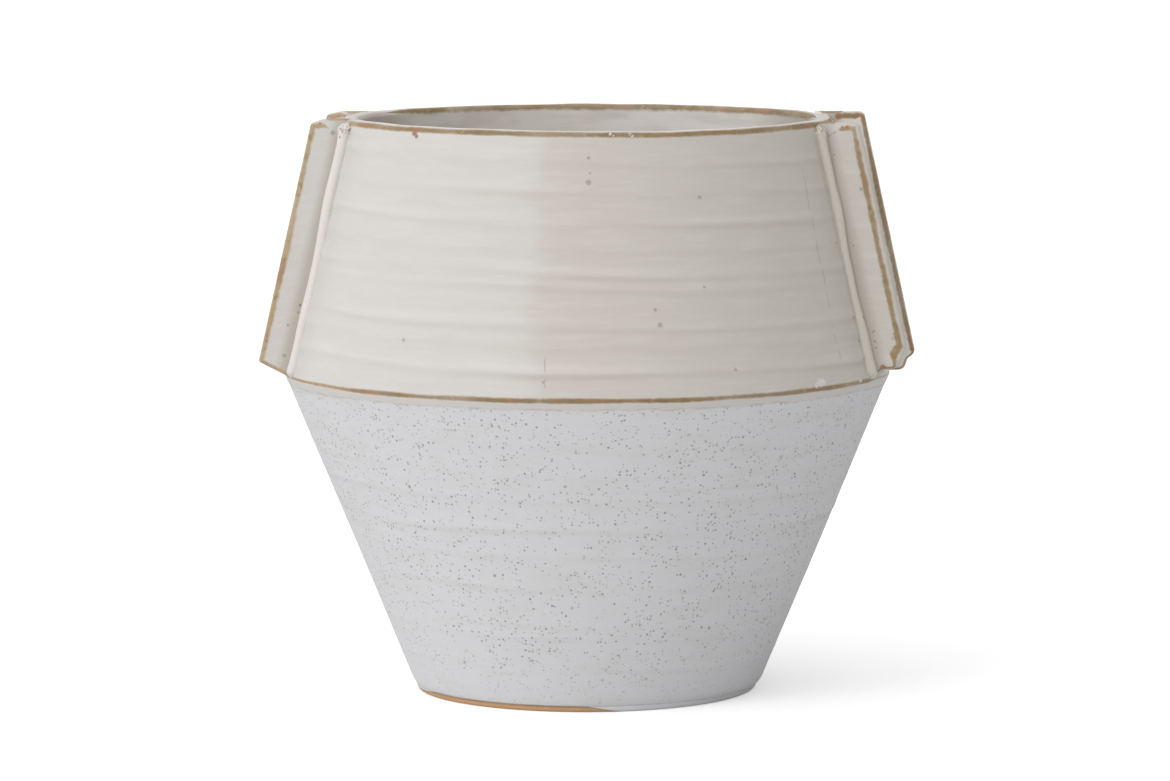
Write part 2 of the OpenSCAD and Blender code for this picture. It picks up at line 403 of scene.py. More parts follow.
def shape_wall(section, angles):
    """Points of the wall, its outside pressed by fingers and settled in the kiln, and its marks."""
    radius, plain, angle = turn_section(section, angles)
    top = int(np.argmax(section[:, 1]))
    outside = (np.arange(len(section)) <= top)[:, None] + 0 * radius

    upper, upper_swell, upper_line_shade = throwing_relief(angle, plain, UPPER_LINES)
    lower, lower_swell, lower_line_shade = throwing_relief(angle, plain, LOWER_LINES)
    high = window(plain, *HIGH_LINES)
    low = window(plain, *LOW_LINES)
    relief = high * (upper - LINE_FLOOR + UPPER_SWELL * upper_swell)
    relief += LOWER_SHARE * low * (lower - LINE_FLOOR + LOWER_SWELL * lower_swell)
    relief *= LINE_HEIGHT * (INSIDE_SHARE + (1 - INSIDE_SHARE) * outside)
    radius += np.where(outside > 0, relief, -relief)
    radius += wobble(angle, plain)
    fillet = np.exp(-(from_coils(angle, plain, (-1, 1)) / FILLET_WIDTH) ** 2)
    radius += FILLET_HEIGHT * outside * fillet * smooth(plain, SHOULDER_Z, SHOULDER_Z + FILLET_RISE)

    ripple = edge_sway(angle, 0 * plain)
    glaze_end = SHOULDER_Z - OVERLAP_H - OVERLAP_SWAY * ripple
    overlap = smooth(plain, glaze_end - OVERLAP_BEND, glaze_end + OVERLAP_BEND)
    overlap *= plain < SHOULDER_Z - OVERLAP_BEND
    radius += outside * OVERLAP_T * overlap
    radius -= outside * foot_tuck(angle, plain)

    height = plain + EDGE_SWAY * ripple * (smooth(plain, *AT_LIP) + window(plain, *AT_SHOULDER))
    height -= press(angle, *RIM_DIP) * smooth(plain, *BELOW_LIP)
    height += press(angle, *SHOULDER_LIFT) * window(plain, *ROUND_SHOULDER)
    # Painted shade in a band beside the right coils, where they meet the wall
    groove = np.exp(-((from_coils(angle, plain, (1,)) - GROOVE_OUT) / GROOVE_WIDTH) ** 2)
    marks = {
        # crest: the throwing lines, painted lighter on glaze and slip as a highlight
        "crest": upper * high + lower * low,
        # line_shade: painted shade just below each throwing line
        "line_shade": (upper_line_shade * high + lower_line_shade * low) * outside,
        "inside": 1 - outside,
        "groove": groove * high,
    }
    return turned(radius, height, angle), marks, outside


def nearest(section, rows, radius, height):
    """The row of a section, among some rows, that passes closest to a point."""
    return rows[int(np.argmin([math.hypot(section[i, 0] - radius, section[i, 1] - height) for i in rows]))]


def line_fade(line, angles):
    """How much the brown lines are lost: the inner one beside the fins, the shoulder's under them."""
    x, y = np.cos(angles), np.sin(angles)
    back_left = LOST_MORE_BACK_LEFT * (x < 0) * (y > 0)
    beside_fins = 1 - smooth(np.abs(y) - back_left, *LOST_BESIDE_FINS)
    under_left = LOST_LEFT_SHARE * smooth(-x, *LOST_UNDER_LEFT)
    under_right = LOST_RIGHT_SHARE * smooth(x, *LOST_UNDER_RIGHT)
    return LOST_MOST * (np.outer(line == 2, beside_fins) + np.outer(line == 0, under_left + under_right))


def make_walls(glaze, slip):
    section = wall_section()
    angles = all_round(WALL_SIDES)
    points, marks, outside = shape_wall(section, angles)
    travel = along(section)
    top = int(np.argmax(section[:, 1]))
    out_rows, in_rows = range(top + 1), range(top, len(section))
    split_out = nearest(section, out_rows, SHOULDER_R, SHOULDER_Z)
    split_in = nearest(section, in_rows, SHOULDER_R - WALL_T, SHOULDER_Z)
    rim_row = nearest(section, out_rows, RIM_R, LIP_Z - RIM_LINE_DROP)
    inner_line_r = RIM_R - WALL_T + LIP_INNER_ROUND * INNER_LINE_SHARE
    inner_row = nearest(section, in_rows, inner_line_r, LIP_Z - INNER_LINE_DROP)
    lines = ((split_out, SHOULDER_LINE), (rim_row, RIM_LINE), (inner_row, INNER_LINE))
    away = np.array([np.abs(travel - travel[row]) / width for row, width in lines])
    line = np.argmin(away, axis=0)
    width = np.array([width for _, width in lines])[line]
    spread = 0 * outside
    marks.update({
        "edge_mm": (away.min(axis=0) * width)[:, None] + spread,
        "line_mm": width[:, None] * (1 - line_fade(line, angles)),
        "ragged": WALL_RAGGED + spread,
        "overlap_mm": np.where(outside > 0, travel[split_out] - travel[:, None] + spread, FAR),
        "foot_mm": np.where(outside > 0, travel[:, None] + spread, FAR),
    })
    upper_rows = list(range(split_out, split_in + 1))
    lower_rows = list(range(split_out + 1)) + list(range(split_in, len(section)))
    for node, ending, rows, slot, material in (
            ("upper_wall", "_glazed", upper_rows, "satin_glaze", glaze),
            ("lower_wall", "_slipped", lower_rows, "matt_slip", slip)):
        chosen = {mark: values[rows] for mark, values in marks.items()}
        piece = mesh_piece(node + ending, points[rows], True, chosen)
        dress(piece, slot, material, node)


# The foot ring and the floor
RING_STEP = 0.4
RING_UP = 0.1
RING_TOP = 1
RING_INSIDE = -5
RING_TOP_ROUND = 0.3
RING_INNER_ROUND = 1.0
RING_OUTER_ROUND = 1.1
FLOOR_STEP = 1.0
FLOOR_SIDES = 192
FLOOR_FILLET = 6.0
FLOOR_MIDDLE = 1.0
FLOOR_UNDER = 0.2
FLOOR_INTO_WALL = 0.6
FLOOR_RIM = 2.5
SPIRAL_PITCH = 7.0
SPIRAL_HEIGHT = 0.25
SPIRAL_REACH = (2, 10, 44, 50)


def make_foot(clay):
    """The ring of bare clay, rounder and drawn in where the slip ran under it."""
    up = FOOT_Z + RING_UP
    section = rounded_line([
        (RING_INNER_R + RING_TOP, up, 0), (RING_INNER_R, up, RING_TOP_ROUND),
        (RING_INNER_R, 0, RING_INNER_ROUND), (FOOT_R, 0, RING_OUTER_ROUND),
        (FOOT_R, up, RING_TOP_ROUND), (FOOT_R - RING_TOP, up, 0),
    ], RING_STEP)
    radius, height, angle = turn_section(section, all_round(WALL_SIDES))
    outer = radius > (RING_INNER_R + FOOT_R) / 2
    radius += wobble(angle, height) - outer * foot_tuck(angle, height)
    marks = {"foot_mm": np.where(outer, height - FOOT_Z, RING_INSIDE)}
    piece = mesh_piece("foot_ring_bare", turned(radius, height, angle), True, marks)
    dress(piece, "bare_clay", clay, "foot_ring")


def make_floor(slip):
    """The slab's top, with the spiral that fingers leave and a smoothed corner at the wall."""
    inner = FOOT_R - WALL_T
    slope = (SHOULDER_R - FOOT_R) / (SHOULDER_Z - FOOT_Z)
    wall_at = inner + slope * (FLOOR_Z + FLOOR_FILLET - FOOT_Z)
    floor_end = inner + slope * (FLOOR_Z - FOOT_Z)
    section = rounded_line([
        (FLOOR_MIDDLE, FLOOR_Z, 0),
        (floor_end, FLOOR_Z, FLOOR_FILLET),
        (wall_at + FLOOR_INTO_WALL, FLOOR_Z + FLOOR_FILLET, 0),
    ], FLOOR_STEP)
    under = FOOT_Z + FLOOR_UNDER
    section = np.vstack([section, [(floor_end + FLOOR_RIM, FLOOR_Z), (inner, under), (FLOOR_MIDDLE, under)]])
    radius, height, angle = turn_section(section, all_round(FLOOR_SIDES))
    turns = radius / SPIRAL_PITCH - angle / TAU
    spiral = SPIRAL_HEIGHT * np.cos(turns * TAU) * window(radius, *SPIRAL_REACH)
    height += np.where(height > FLOOR_Z - CLOSE, spiral, 0)
    far = FAR + 0 * height
    marks = {"foot_mm": far, "edge_mm": far, "line_mm": 1 + 0 * height, "overlap_mm": far}
    piece = mesh_piece("base_slab_turned", turned(radius, height, angle), False, marks)
    dress(piece, "matt_slip", slip, "base_slab")


# The fins themselves
FIN_STEP = 0.7
FIN_FACE_ROWS = 22
FIN_EDGE_ROWS = 12
FIN_ROWS = ([("edge", k / FIN_EDGE_ROWS) for k in range(FIN_EDGE_ROWS + 1)]
            + [("face", k / FIN_FACE_ROWS) for k in range(1, FIN_FACE_ROWS + 1)])
FIN_START = 9
FIN_WAVE = 0.18
FIN_WAVE_LONG = 30
FIN_RAGGED = 0.5
CROWN_EDGE = 0.3
CROWN_TIP = 0.2
CROWN_REACH = (-1, 8.3)
CROWN_ROUND = 0.5
CREST_LINE = 1.5
CREST_REACH = (RIM_R - 6, RIM_R - 4, RIM_R + 1.5, RIM_R + 3.5)
TOP_SLOPE = (0.55, 0.95)
TOE_SLOPE = (0.0, 0.3)
TOE_BEND = 2.2
SPINE_DROP = 8.0
SPINE_RISE = 0.5
SPINE_ABOVE = 0.3
SPINE_START = 4
SPINE_END = 12
SPINE_SHARE = 0.6
TOE_THIN_LINE = (0.8, -1.6)
TOP_LINE_END = (-1.5, 1)
THIN = 0.05
WHOLE = 0.5
LINE_AWAY = 4
# How far out from the wall the fins' pooled glaze and painted shade sit, and how wide
POOL_AND_SHADE_OUT = 2.6
POOL_AND_SHADE_WIDTH = 4.2


def fin_outline(facts, sine, top):
    """A fin's outline as (distance from the middle, height), and its outer corner at the top."""
    upper = [(RIM_R + past, top + rise, r) for past, rise, r in facts["upper"]]
    inside = math.sqrt((RIM_R - WALL_T / 2) ** 2 - (RIM_R * sine) ** 2)
    lower = [(SHOULDER_R + out, SHOULDER_Z + up, r) for out, up, r in facts["lower"]]
    start = (SHOULDER_R - FIN_START, lower[0][1], 0)
    return rounded_line([start, *lower, *upper, (inside, upper[-1][1], 0)], FIN_STEP), upper[0]


def fin_spine(facts, outline, sine, top):
    """Where a fin's faces end inside the wall, for each point of the outline."""
    travel = along(outline)
    low_end = max(outline[0, 1] + CROWN_EDGE + facts["arris"] + SPINE_RISE, SHOULDER_Z + SPINE_ABOVE)
    climb = np.clip((travel - SPINE_START) / (travel[-1] - SPINE_START - SPINE_END), 0, 1)
    height = low_end + (top - SPINE_DROP - low_end) * climb
    radius = wall_radius(height)
    out = np.sqrt((radius - WALL_T * SPINE_SHARE) ** 2 - (radius * sine) ** 2)
    return np.stack([out, height], -1)


def fin_line(facts, outline, ahead, on_top, tip):
    """Width of the brown line, and its distance in from the face's edge, at each point of the outline."""
    on_toe = smooth(ahead[:, 0], *TOE_SLOPE)
    toe, side, top = np.array(facts["lines"])
    line = side + (toe - side) * on_toe[:, None] + (top - side) * on_top[:, None]
    end = smooth(tip[0] - outline[:, 0] - facts["top_line_long"], *TOP_LINE_END) * on_top
    up = outline[:, 1] - SHOULDER_Z - facts["toe_line_from"]
    start = (1 - smooth(up, -TOE_BEND, TOE_BEND)) * on_toe
    line += (np.array(TOE_THIN_LINE) - line) * start[:, None]
    return np.maximum(line[:, 0] * (1 - end), THIN), line[:, 1]


def fin_profile(kind, t, half, crown, arris):
    """Distance in from the edge, distance across, and distance past the face's edge, below 0 on the arris."""
    depth = crown + arris
    if kind == "face":
        return depth, half + 0 * crown, 0 * crown
    flat = half - arris
    if t < 0.5:
        across = t / 0.5 * flat
        inn = crown * (across / half) ** 2
    else:
        turn = (t - 0.5) / 0.5 * math.pi / 2
        start = crown * (flat / half) ** 2
        inn = start + (depth - start) * (1 - math.cos(turn))
        across = flat + arris * math.sin(turn)
    # Where the crown is high, one round takes the place of crown and arris
    full = np.clip(crown - CROWN_ROUND, 0, 1)
    inn = inn + (depth * (1 - math.cos(t * math.pi / 2)) - inn) * full
    across = across + (half * math.sin(t * math.pi / 2) - across) * full
    return inn, across, -np.hypot(half - across, depth - inn)


def make_fin(name, glaze):
    facts = FINS[name]
    sine, half, top = fin_facts(name)
    outline, tip = fin_outline(facts, sine, top)
    spine = fin_spine(facts, outline, sine, top)
    ahead = np.gradient(outline, axis=0)
    ahead /= np.linalg.norm(ahead, axis=1)[:, None]
    inward = np.stack([-ahead[:, 1], ahead[:, 0]], -1)
    out = outline[:, 0]
    on_top = smooth(-ahead[:, 0], *TOP_SLOPE)
    toward_wall = on_top * (1 - smooth(out - RIM_R, *CROWN_REACH))
    crown = CROWN_EDGE + on_top * (CROWN_TIP + (facts["crown_top"] - CROWN_TIP) * toward_wall)
    crest_line = CREST_LINE * on_top * window(out, *CREST_REACH)
    line_mm, line_in = fin_line(facts, outline, ahead, on_top, tip)
    sway = make_sway(seed=facts["seed"], waves=8, most_turns=3, shortest=20, longest=90)

    columns = []
    for way in (-1, 1):
        half_round = []
        for kind, t in FIN_ROWS:
            inn, across, gap = fin_profile(kind, t, half, crown, facts["arris"])
            place = outline + inward * inn[:, None]
            if kind == "face":
                start = place
                place = start + (spine - start) * t
                gap = gap + np.linalg.norm(place - start, axis=1)
            middle = wall_radius(place[:, 1]) * sine
            wave = FIN_WAVE * sway(place[:, 1] / FIN_WAVE_LONG, place[:, 0])
            y = facts["face"] * middle + way * across + wave
            points = np.stack([facts["side"] * place[:, 0], y, place[:, 1]], -1)
            past_line = np.abs(gap - line_in) + LINE_AWAY * (1 - smooth(line_mm, THIN, WHOLE))
            past_crest = inn / np.maximum(crest_line, THIN) * line_mm
            half_round.append((points, np.minimum(past_line, past_crest)))
        columns += half_round[::-1] if way < 0 else half_round[1:]
    net = np.stack([points for points, _ in columns], 1)
    edge_mm = np.stack([past for _, past in columns], 1)
    from_wall = np.hypot(net[:, :, 0], net[:, :, 1]) - wall_radius(net[:, :, 2])
    marks = {
        "edge_mm": edge_mm,
        "line_mm": line_mm[:, None] + 0 * edge_mm,
        "ragged": FIN_RAGGED + 0 * edge_mm,
        # Painted light on the back fins' faces, against the shade between the fins
        "painted_light": facts["painted_light"] + 0 * edge_mm,
        # pool_and_shade: pooled glaze and painted shade in the corner between fin and wall
        "pool_and_shade": np.clip(1 - np.abs(from_wall - POOL_AND_SHADE_OUT) / POOL_AND_SHADE_WIDTH, 0, 1),
    }
    dress(mesh_piece(name + "_slab", net, False, marks), "satin_glaze", glaze, name)


# The coils pressed into the corners between fin and wall
COIL_SIDES = 20
COIL_STEP = 0.7
COIL_R = 2.1
COIL_SWAY = 0.07
COIL_SWELL = 0.08
COIL_DRIFT = 0.1
DRIFT_TURN = 1.3
DRIFT_RATE = 0.45
COIL_DENT = 0.03
COIL_START = -0.2
COIL_RISE = 2.5
COIL_MIDDLE = 162.0
COIL_BEND = 11
COIL_TOE = (-0.6, 2.4)
COIL_TIP = 2.2
COIL_LEAST = 0.03
FLARE_LONG = 16
LUMP_DROP = 1.6
LUMP_LONG = 2.6
LUMP_THICK = 0.6
LUMP_ROUGH = 0.35
LUMP_TURNS = 3
LUMP_RATE = 2.2


def make_coil(fin, way, label, glaze):
    facts = FINS[fin]
    name = fin.replace("fin", "coil") + "_" + label
    sine, half, _ = fin_facts(fin)
    end_z = box_mm(name)[1].z + COIL_RISE
    sway = make_sway(seed=facts["seed"] * 3 + way, waves=8, most_turns=4, shortest=8, longest=40)
    tall = np.arange(SHOULDER_Z + COIL_START + facts["coil_lift"], end_z, COIL_STEP)
    turns = np.linspace(0, TAU, COIL_SIDES, endpoint=False)
    length = tall - tall[0]
    radius = wall_radius(tall)
    y = radius * sine + way * (half + COIL_OFF)
    lump = np.exp(-((tall - end_z + LUMP_DROP) / LUMP_LONG) ** 2)
    flare = facts["flare"] * np.exp(-(length / FLARE_LONG) ** 2)
    high_up = smooth(tall, COIL_MIDDLE - COIL_BEND, COIL_MIDDLE + COIL_BEND)
    swell = 1 + flare + COIL_SWAY * sway(0 * tall, tall) + COIL_SWELL * high_up
    thick = facts["coil_thick"] * COIL_R * swell + LUMP_THICK * lump
    end = np.minimum(smooth(length, *COIL_TOE), np.sqrt(np.clip((tall[-1] - tall) / COIL_TIP, 0, 1)))
    thick = thick * np.maximum(end, COIL_LEAST)
    drift = COIL_DRIFT * sway(0 * tall + DRIFT_TURN, tall * DRIFT_RATE)
    rough = LUMP_ROUGH * lump[:, None] * sway(turns[None, :] * LUMP_TURNS, tall[:, None] * LUMP_RATE)
    reach = thick[:, None] * (1 + COIL_DENT * sway(turns[None, :], tall[:, None])) + rough
    sit = facts["coil_sit"] + facts["coil_out"] * high_up
    x = np.sqrt((radius + sit) ** 2 - y ** 2)[:, None] + reach * np.cos(turns)[None, :]
    across = (y + way * drift)[:, None] + reach * np.sin(turns)[None, :]
    net = np.stack([facts["side"] * x, facts["face"] * across, tall[:, None] + 0 * across], -1)
    piece = mesh_piece(name + "_rolled", net, False, {"lump": lump[:, None] + 0 * across})
    dress(piece, "coil_glaze", glaze, name)


# Short ways to write a node tree. A node goes into the tree of the sockets that feed it
def feed(socket, value):
    if isinstance(value, bpy.types.NodeSocket):
        socket.id_data.links.new(value, socket)
    else:
        socket.default_value = value


def put(kind, inputs, tree=None, **settings):
    """Adds a node, sets it up and feeds its inputs, by name or by number."""
    tree = tree or next(value.id_data for value in inputs.values() if isinstance(value, bpy.types.NodeSocket))
    made = tree.nodes.new(kind)
    for name, value in settings.items():
        setattr(made, name, value)
    for name, value in inputs.items():
        feed(made.inputs[name], value)
    return made


def maths(operation, a, b=0.0, c=0.0):
    return put("ShaderNodeMath", {0: a, 1: b, 2: c}, operation=operation).outputs[0]


def times(a, b, more=0.0):
    """One value times another, and more added to them."""
    return maths("MULTIPLY_ADD", a, b, more)


def minus(a, b):
    return maths("SUBTRACT", a, b)


def most(*values):
    """The largest of some values."""
    largest = values[0]
    for value in values[1:]:
        largest = maths("MAXIMUM", largest, value)
    return largest


def vectors(operation, a, b, c=(0, 0, 0)):
    return put("ShaderNodeVectorMath", {0: a, 1: b, 2: c}, operation=operation).outputs


def split(place):
    return put("ShaderNodeSeparateXYZ", {0: place}).outputs


def join(x, y, z):
    return put("ShaderNodeCombineXYZ", {0: x, 1: y, 2: z}).outputs[0]


def bend(value, low, high, to_low=0.0, to_high=1.0):
    """An even bend from to_low below low to to_high above high."""
    made = put("ShaderNodeMapRange", {"Value": value, "From Min": low, "From Max": high,
                                      "To Min": to_low, "To Max": to_high}, interpolation_type="SMOOTHSTEP")
    return made.outputs["Result"]


def tint(share, a, b):
    """Colour a with as much of colour b as the share says."""
    return put("ShaderNodeMix", {0: share, 6: a, 7: b}, data_type="RGBA", clamp_factor=True).outputs[2]


def coats(ground, *layers):
    """A ground with layers over it, each one a share and a colour."""
    for share, layer in layers:
        ground = tint(share, ground, layer)
    return ground


def noise(place, scale, detail=2.0, rough=0.5, stretch=None):
    """Noise about 0 to 1, with a scale in waves per millimetre."""
    if stretch is not None:
        place = vectors("MULTIPLY", place, stretch)[0]
    made = put("ShaderNodeTexNoise", {"Vector": place, "Scale": scale, "Detail": detail, "Roughness": rough})
    return made.outputs["Fac"]


def rag(*noise_values):
    """Noise about -0.5 to 0.5."""
    return minus(noise(*noise_values), 0.5)


def attribute(beside, name):
    """One of the mesh's marks, in the tree of some socket."""
    return put("ShaderNodeAttribute", {}, beside.id_data, attribute_name=name).outputs["Fac"]


def place_mm(tree):
    """Place on the pot in millimetres."""
    place = put("ShaderNodeTexCoord", {}, tree).outputs["Object"]
    return put("ShaderNodeVectorMath", {0: place, "Scale": 1 / MM}, operation="SCALE").outputs[0]


def colour(red, green, blue):
    return (red, green, blue, 1.0)


def new_group(name, inputs, *outputs):
    """An empty node group with number inputs by name and default, and number outputs by name."""
    tree = bpy.data.node_groups.new(name, "ShaderNodeTree")
    tree.interface.new_socket("Place", in_out="INPUT", socket_type="NodeSocketVector")
    for label, value in inputs.items():
        made = tree.interface.new_socket(label, in_out="INPUT", socket_type="NodeSocketFloat")
        made.default_value = value
    for label in outputs:
        tree.interface.new_socket(label, in_out="OUTPUT", socket_type="NodeSocketFloat")
    return tree, tree.nodes.new("NodeGroupInput").outputs, tree.nodes.new("NodeGroupOutput").inputs


def use(group, **inputs):
    """A node group with its inputs fed by name."""
    return put("ShaderNodeGroup", inputs, node_tree=group).outputs


# Effects that several finishes share
def group_glaze_break():
    """Where glaze runs thin on an edge: a soft brown line with paler and darker stretches."""
    tree, given, out = new_group("glaze_break", {"Distance": 50, "Width": 1.5, "Ragged": 0.4}, "Line", "Dark")
    place = given["Place"]
    push = times(rag(place, 0.07), 1.6, rag(place, 0.5))
    share = times(push, given["Ragged"], maths("DIVIDE", given["Distance"], given["Width"]))
    line = bend(share, 0.24, 0.72, 1.0, 0.0)
    full = bend(noise(place, 0.05), 0.3, 0.6, 0.8, 1.0)
    feed(out["Line"], times(line, full))
    core = bend(share, 0.0, 0.5, 1.0, 0.3)
    mix = bend(noise(place, 0.12, 3.0, 0.55), 0.38, 0.66)
    feed(out["Dark"], times(core, mix))
    return tree


def group_speckle():
    """Round specks, each with a size and a depth of its own."""
    tree, given, out = new_group(
        "speckle", {"Scale": 0.5, "Size": 0.3, "Amount": 0.5, "Clumping": 0.5}, "Specks")
    place = given["Place"]
    half = (0.5, 0.5, 0.5)
    warp = put("ShaderNodeTexNoise", {"Vector": place, "Scale": 1.1, "Detail": 1.0}).outputs["Color"]
    shift = vectors("SUBTRACT", warp, half)[0]
    moved = vectors("MULTIPLY_ADD", shift, half, place)[0]
    cells = put("ShaderNodeTexVoronoi", {"Vector": moved, "Scale": given["Scale"]}).outputs
    chance = put("ShaderNodeSeparateColor", {0: cells["Color"]}).outputs
    clump = times(noise(place, 0.12), 0.6, times(noise(place, 0.33, 1.0), 0.4))
    bar = times(minus(clump, 0.5), given["Clumping"], given["Amount"])
    there = maths("LESS_THAN", chance[0], bar)
    size = times(given["Size"], bend(chance[1], 0.0, 1.0, 0.55, 1.0))
    speck = bend(maths("DIVIDE", cells["Distance"], size), 0.5, 1.0, 1.0, 0.0)
    depth = bend(chance[2], 0.0, 1.0, 0.45, 1.0)
    feed(out["Specks"], times(times(speck, there), depth))
    return tree


def group_mottle():
    """Soft cloudy changes drawn out level round the pot, one for tint and one for tone."""
    tree, given, out = new_group("mottle", {"Scale": 0.05, "Flat": 3.0}, "Tint", "Tone")
    first = vectors("MULTIPLY", given["Place"], join(1.0, 1.0, given["Flat"]))[0]
    second = vectors("ADD", first, (71.0, 13.0, 37.0))[0]
    feed(out["Tint"], bend(noise(first, given["Scale"], 3.0, 0.55), 0.3, 0.7))
    feed(out["Tone"], bend(noise(second, given["Scale"], 3.0, 0.55), 0.3, 0.7, -1.0, 1.0))
    return tree


def group_spot():
    """One mark at a given place, with a soft ragged rim."""
    tree, given, out = new_group("spot", {"Across": 0.0, "Depth": 0.0, "Height": 0.0, "Radius": 1.0}, "Mark")
    middle = join(given["Across"], given["Depth"], given["Height"])
    away = vectors("DISTANCE", given["Place"], middle)["Value"]
    away = maths("ADD", away, rag(given["Place"], 1.2))
    feed(out["Mark"], bend(maths("DIVIDE", away, given["Radius"]), 0.45, 1.1, 1.0, 0.0))
    return tree


def group_hairline():
    """A fine broken crack that wanders up the wall at one angle, between two heights."""
    tree, given, out = new_group("hairline", {"Angle": 0.0, "Radius": 90.0, "Low": 0.0, "High": 1.0}, "Mark")
    x, y, z = split(given["Place"])
    turn = minus(maths("ARCTAN2", y, x), given["Angle"])
    wander = rag(given["Place"], 0.1, 3.0, 0.6)
    away = times(wander, 5.0, times(turn, given["Radius"]))
    line = bend(maths("ABSOLUTE", away), 0.08, 0.32, 1.0, 0.0)
    inside = maths("MINIMUM", minus(z, given["Low"]), minus(given["High"], z))
    broken = bend(noise(given["Place"], 0.3), 0.42, 0.54)
    feed(out["Mark"], times(times(line, bend(inside, 0.0, 4.0)), broken))
    return tree


GLAZE_BREAK = group_glaze_break()
SPECKLE = group_speckle()
MOTTLE = group_mottle()
SPOT = group_spot()
HAIRLINE = group_hairline()


def specks(place, scale, size, amount, clumping):
    return use(SPECKLE, Place=place, Scale=scale, Size=size, Amount=amount, Clumping=clumping)["Specks"]


def start_material(name):
    material = bpy.data.materials.new(name)
    material.use_nodes = True
    tree = material.node_tree
    tree.nodes.clear()
    shader = put("ShaderNodeBsdfPrincipled", {}, tree)
    put("ShaderNodeOutputMaterial", {"Surface": shader.outputs[0]})
    return material, tree, shader.inputs


def surface(shader, ground, matt, relief, reach, strength):
    """Feeds colour, roughness and bumps: heights added up by their shares, with a reach in millimetres."""
    height = 0.0
    for part, share in relief:
        height = times(part, share, height)
    bump = put("ShaderNodeBump", {"Height": height, "Distance": reach * MM, "Strength": strength})
    feed(shader["Base Color"], ground)
    feed(shader["Roughness"], matt)
    feed(shader["Normal"], bump.outputs[0])


# Colours of the finishes
IVORY = colour(0.60, 0.582, 0.55)
ROSE = colour(0.555, 0.505, 0.465)
OLIVE_GREY = colour(0.565, 0.535, 0.48)
PALE = colour(0.68, 0.65, 0.615)
# Colours painted much paler than the glaze outside, as light inside the pot and between the fins
INSIDE_PALE = colour(0.905, 0.865, 0.825)
INSIDE_BEIGE = colour(0.90, 0.86, 0.78)
TAN = colour(0.255, 0.172, 0.077)
LIGHT_TAN = colour(0.47, 0.34, 0.195)
RUST = colour(0.34, 0.185, 0.09)
DARK_BROWN = colour(0.20, 0.145, 0.075)
BEIGE = colour(0.42, 0.375, 0.32)
PIT = colour(0.20, 0.17, 0.15)
CREAM = colour(0.70, 0.64, 0.52)
SLIP_WHITE = colour(0.648, 0.648, 0.662)
SLIP_LIGHT = colour(0.70, 0.70, 0.71)
SLIP_WARM = colour(0.585, 0.57, 0.545)
SPECK_BROWN = colour(0.15, 0.148, 0.15)
SPECK_GREY = colour(0.33, 0.32, 0.31)
OVERLAP_GREY = colour(0.59, 0.555, 0.52)
OVERLAP_LINE = colour(0.44, 0.41, 0.36)
CLAY_TAN = colour(0.47, 0.29, 0.145)
CLAY_LIGHT = colour(0.60, 0.36, 0.20)
CLAY_DARK = colour(0.28, 0.17, 0.085)
COIL_PALE = colour(0.71, 0.665, 0.63)
COIL_GREY = colour(0.58, 0.545, 0.475)

# How far the streaks of both cones are flattened
STREAK = (1.0, 1.0, 9.0)

# Marks that the kiln left in the glaze: angle in degrees, height and radius in millimetres
GLAZE_MARKS = ((-84.75, 183.0, 1.2), (-84.5, 186.0, 0.6), (-84.75, 191.0, 0.7), (-60.25, 177.5, 0.9),
               (-71.75, 141.0, 0.8), (-71.0, 136.0, 1.1), (-61.25, 148.0, 0.6), (-122.5, 129.5, 0.8),
               (-56.5, 120.5, 0.7), (-93.0, 117.5, 0.7))
# Gaps in the near rim's brown line, painted cream as glints, with darker fringes
RIM_BREAKS_AND_GLINTS = ((-79.9, 199.0, 0.95), (-79.2, 198.3, 0.7), (-75.5, 199.0, 0.9), (-74.8, 198.2, 0.7))
RUST_DRIPS = ((-128.3, 198.0, 1.5), (-127.6, 196.8, 0.9))
PALE_LUMPS = ((-36.6, 113.9, 1.7), (-35.6, 114.0, 1.7), (-37.8, 113.3, 1.2), (-23.0, 112.3, 1.5))
# The same in the groove beside the front right coil
GROOVE_PITS = ((-20.0, 133.6, 0.9), (-19.8, 125.6, 0.8), (-19.8, 119.4, 0.8), (-20.4, 159.0, 0.7))
# The same on the front faces of the fins: distance out, height and radius in millimetres
FIN_PITS = {
    "fin_front_left": ((96.9, 133.8, 0.6), (100.6, 129.4, 0.6), (101.8, 118.9, 0.8), (85.4, 195.6, 1.0)),
    "fin_front_right": ((96.4, 177.1, 0.8), (107.7, 127.8, 0.5), (107.4, 126.5, 0.45), (107.6, 125.8, 0.45),
                        (100.9, 128.5, 0.8), (101.5, 125.0, 0.6), (101.8, 123.0, 0.55)),
}
FIN_RUST = {
    "fin_front_left": ((89.7, 198.7, 0.6),),
    "fin_front_right": ((104.3, 116.1, 1.3), (91.4, 198.2, 1.2), (89.8, 198.2, 0.9)),
    "fin_back_right": ((93.2, 199.6, 1.0), (86.3, 199.4, 1.4)),
}
# Hairlines by angle in degrees and lowest and highest height in millimetres
HAIRLINES = ((-29.0, 119.0, 187.0), (-93.0, 113.0, 127.0))


def on_wall(marks):
    """Places and radii of marks on the upper cone."""
    for degrees, height, radius in marks:
        out, angle = wall_radius(height), math.radians(degrees)
        yield out * math.cos(angle), out * math.sin(angle), height, radius


def on_fins(marks):
    """Places and radii of marks on the fins' front faces."""
    for fin, places in marks.items():
        sine, half, _ = fin_facts(fin)
        for out, height, radius in places:
            depth = FINS[fin]["face"] * wall_radius(height) * sine - half
            yield FINS[fin]["side"] * out, depth, height, radius


def spots(place, *places):
    """Some listed marks together, 0 to 1."""
    return most(*[use(SPOT, Place=place, Across=x, Depth=y, Height=z, Radius=radius)["Mark"]
                  for x, y, z, radius in places])


def hairlines(place):
    """The hairlines together, 0 to 1."""
    return most(*[use(HAIRLINE, Place=place, Angle=math.radians(degrees),
                      Radius=wall_radius((low + high) / 2), Low=low, High=high)["Mark"]
                  for degrees, low, high in HAIRLINES])


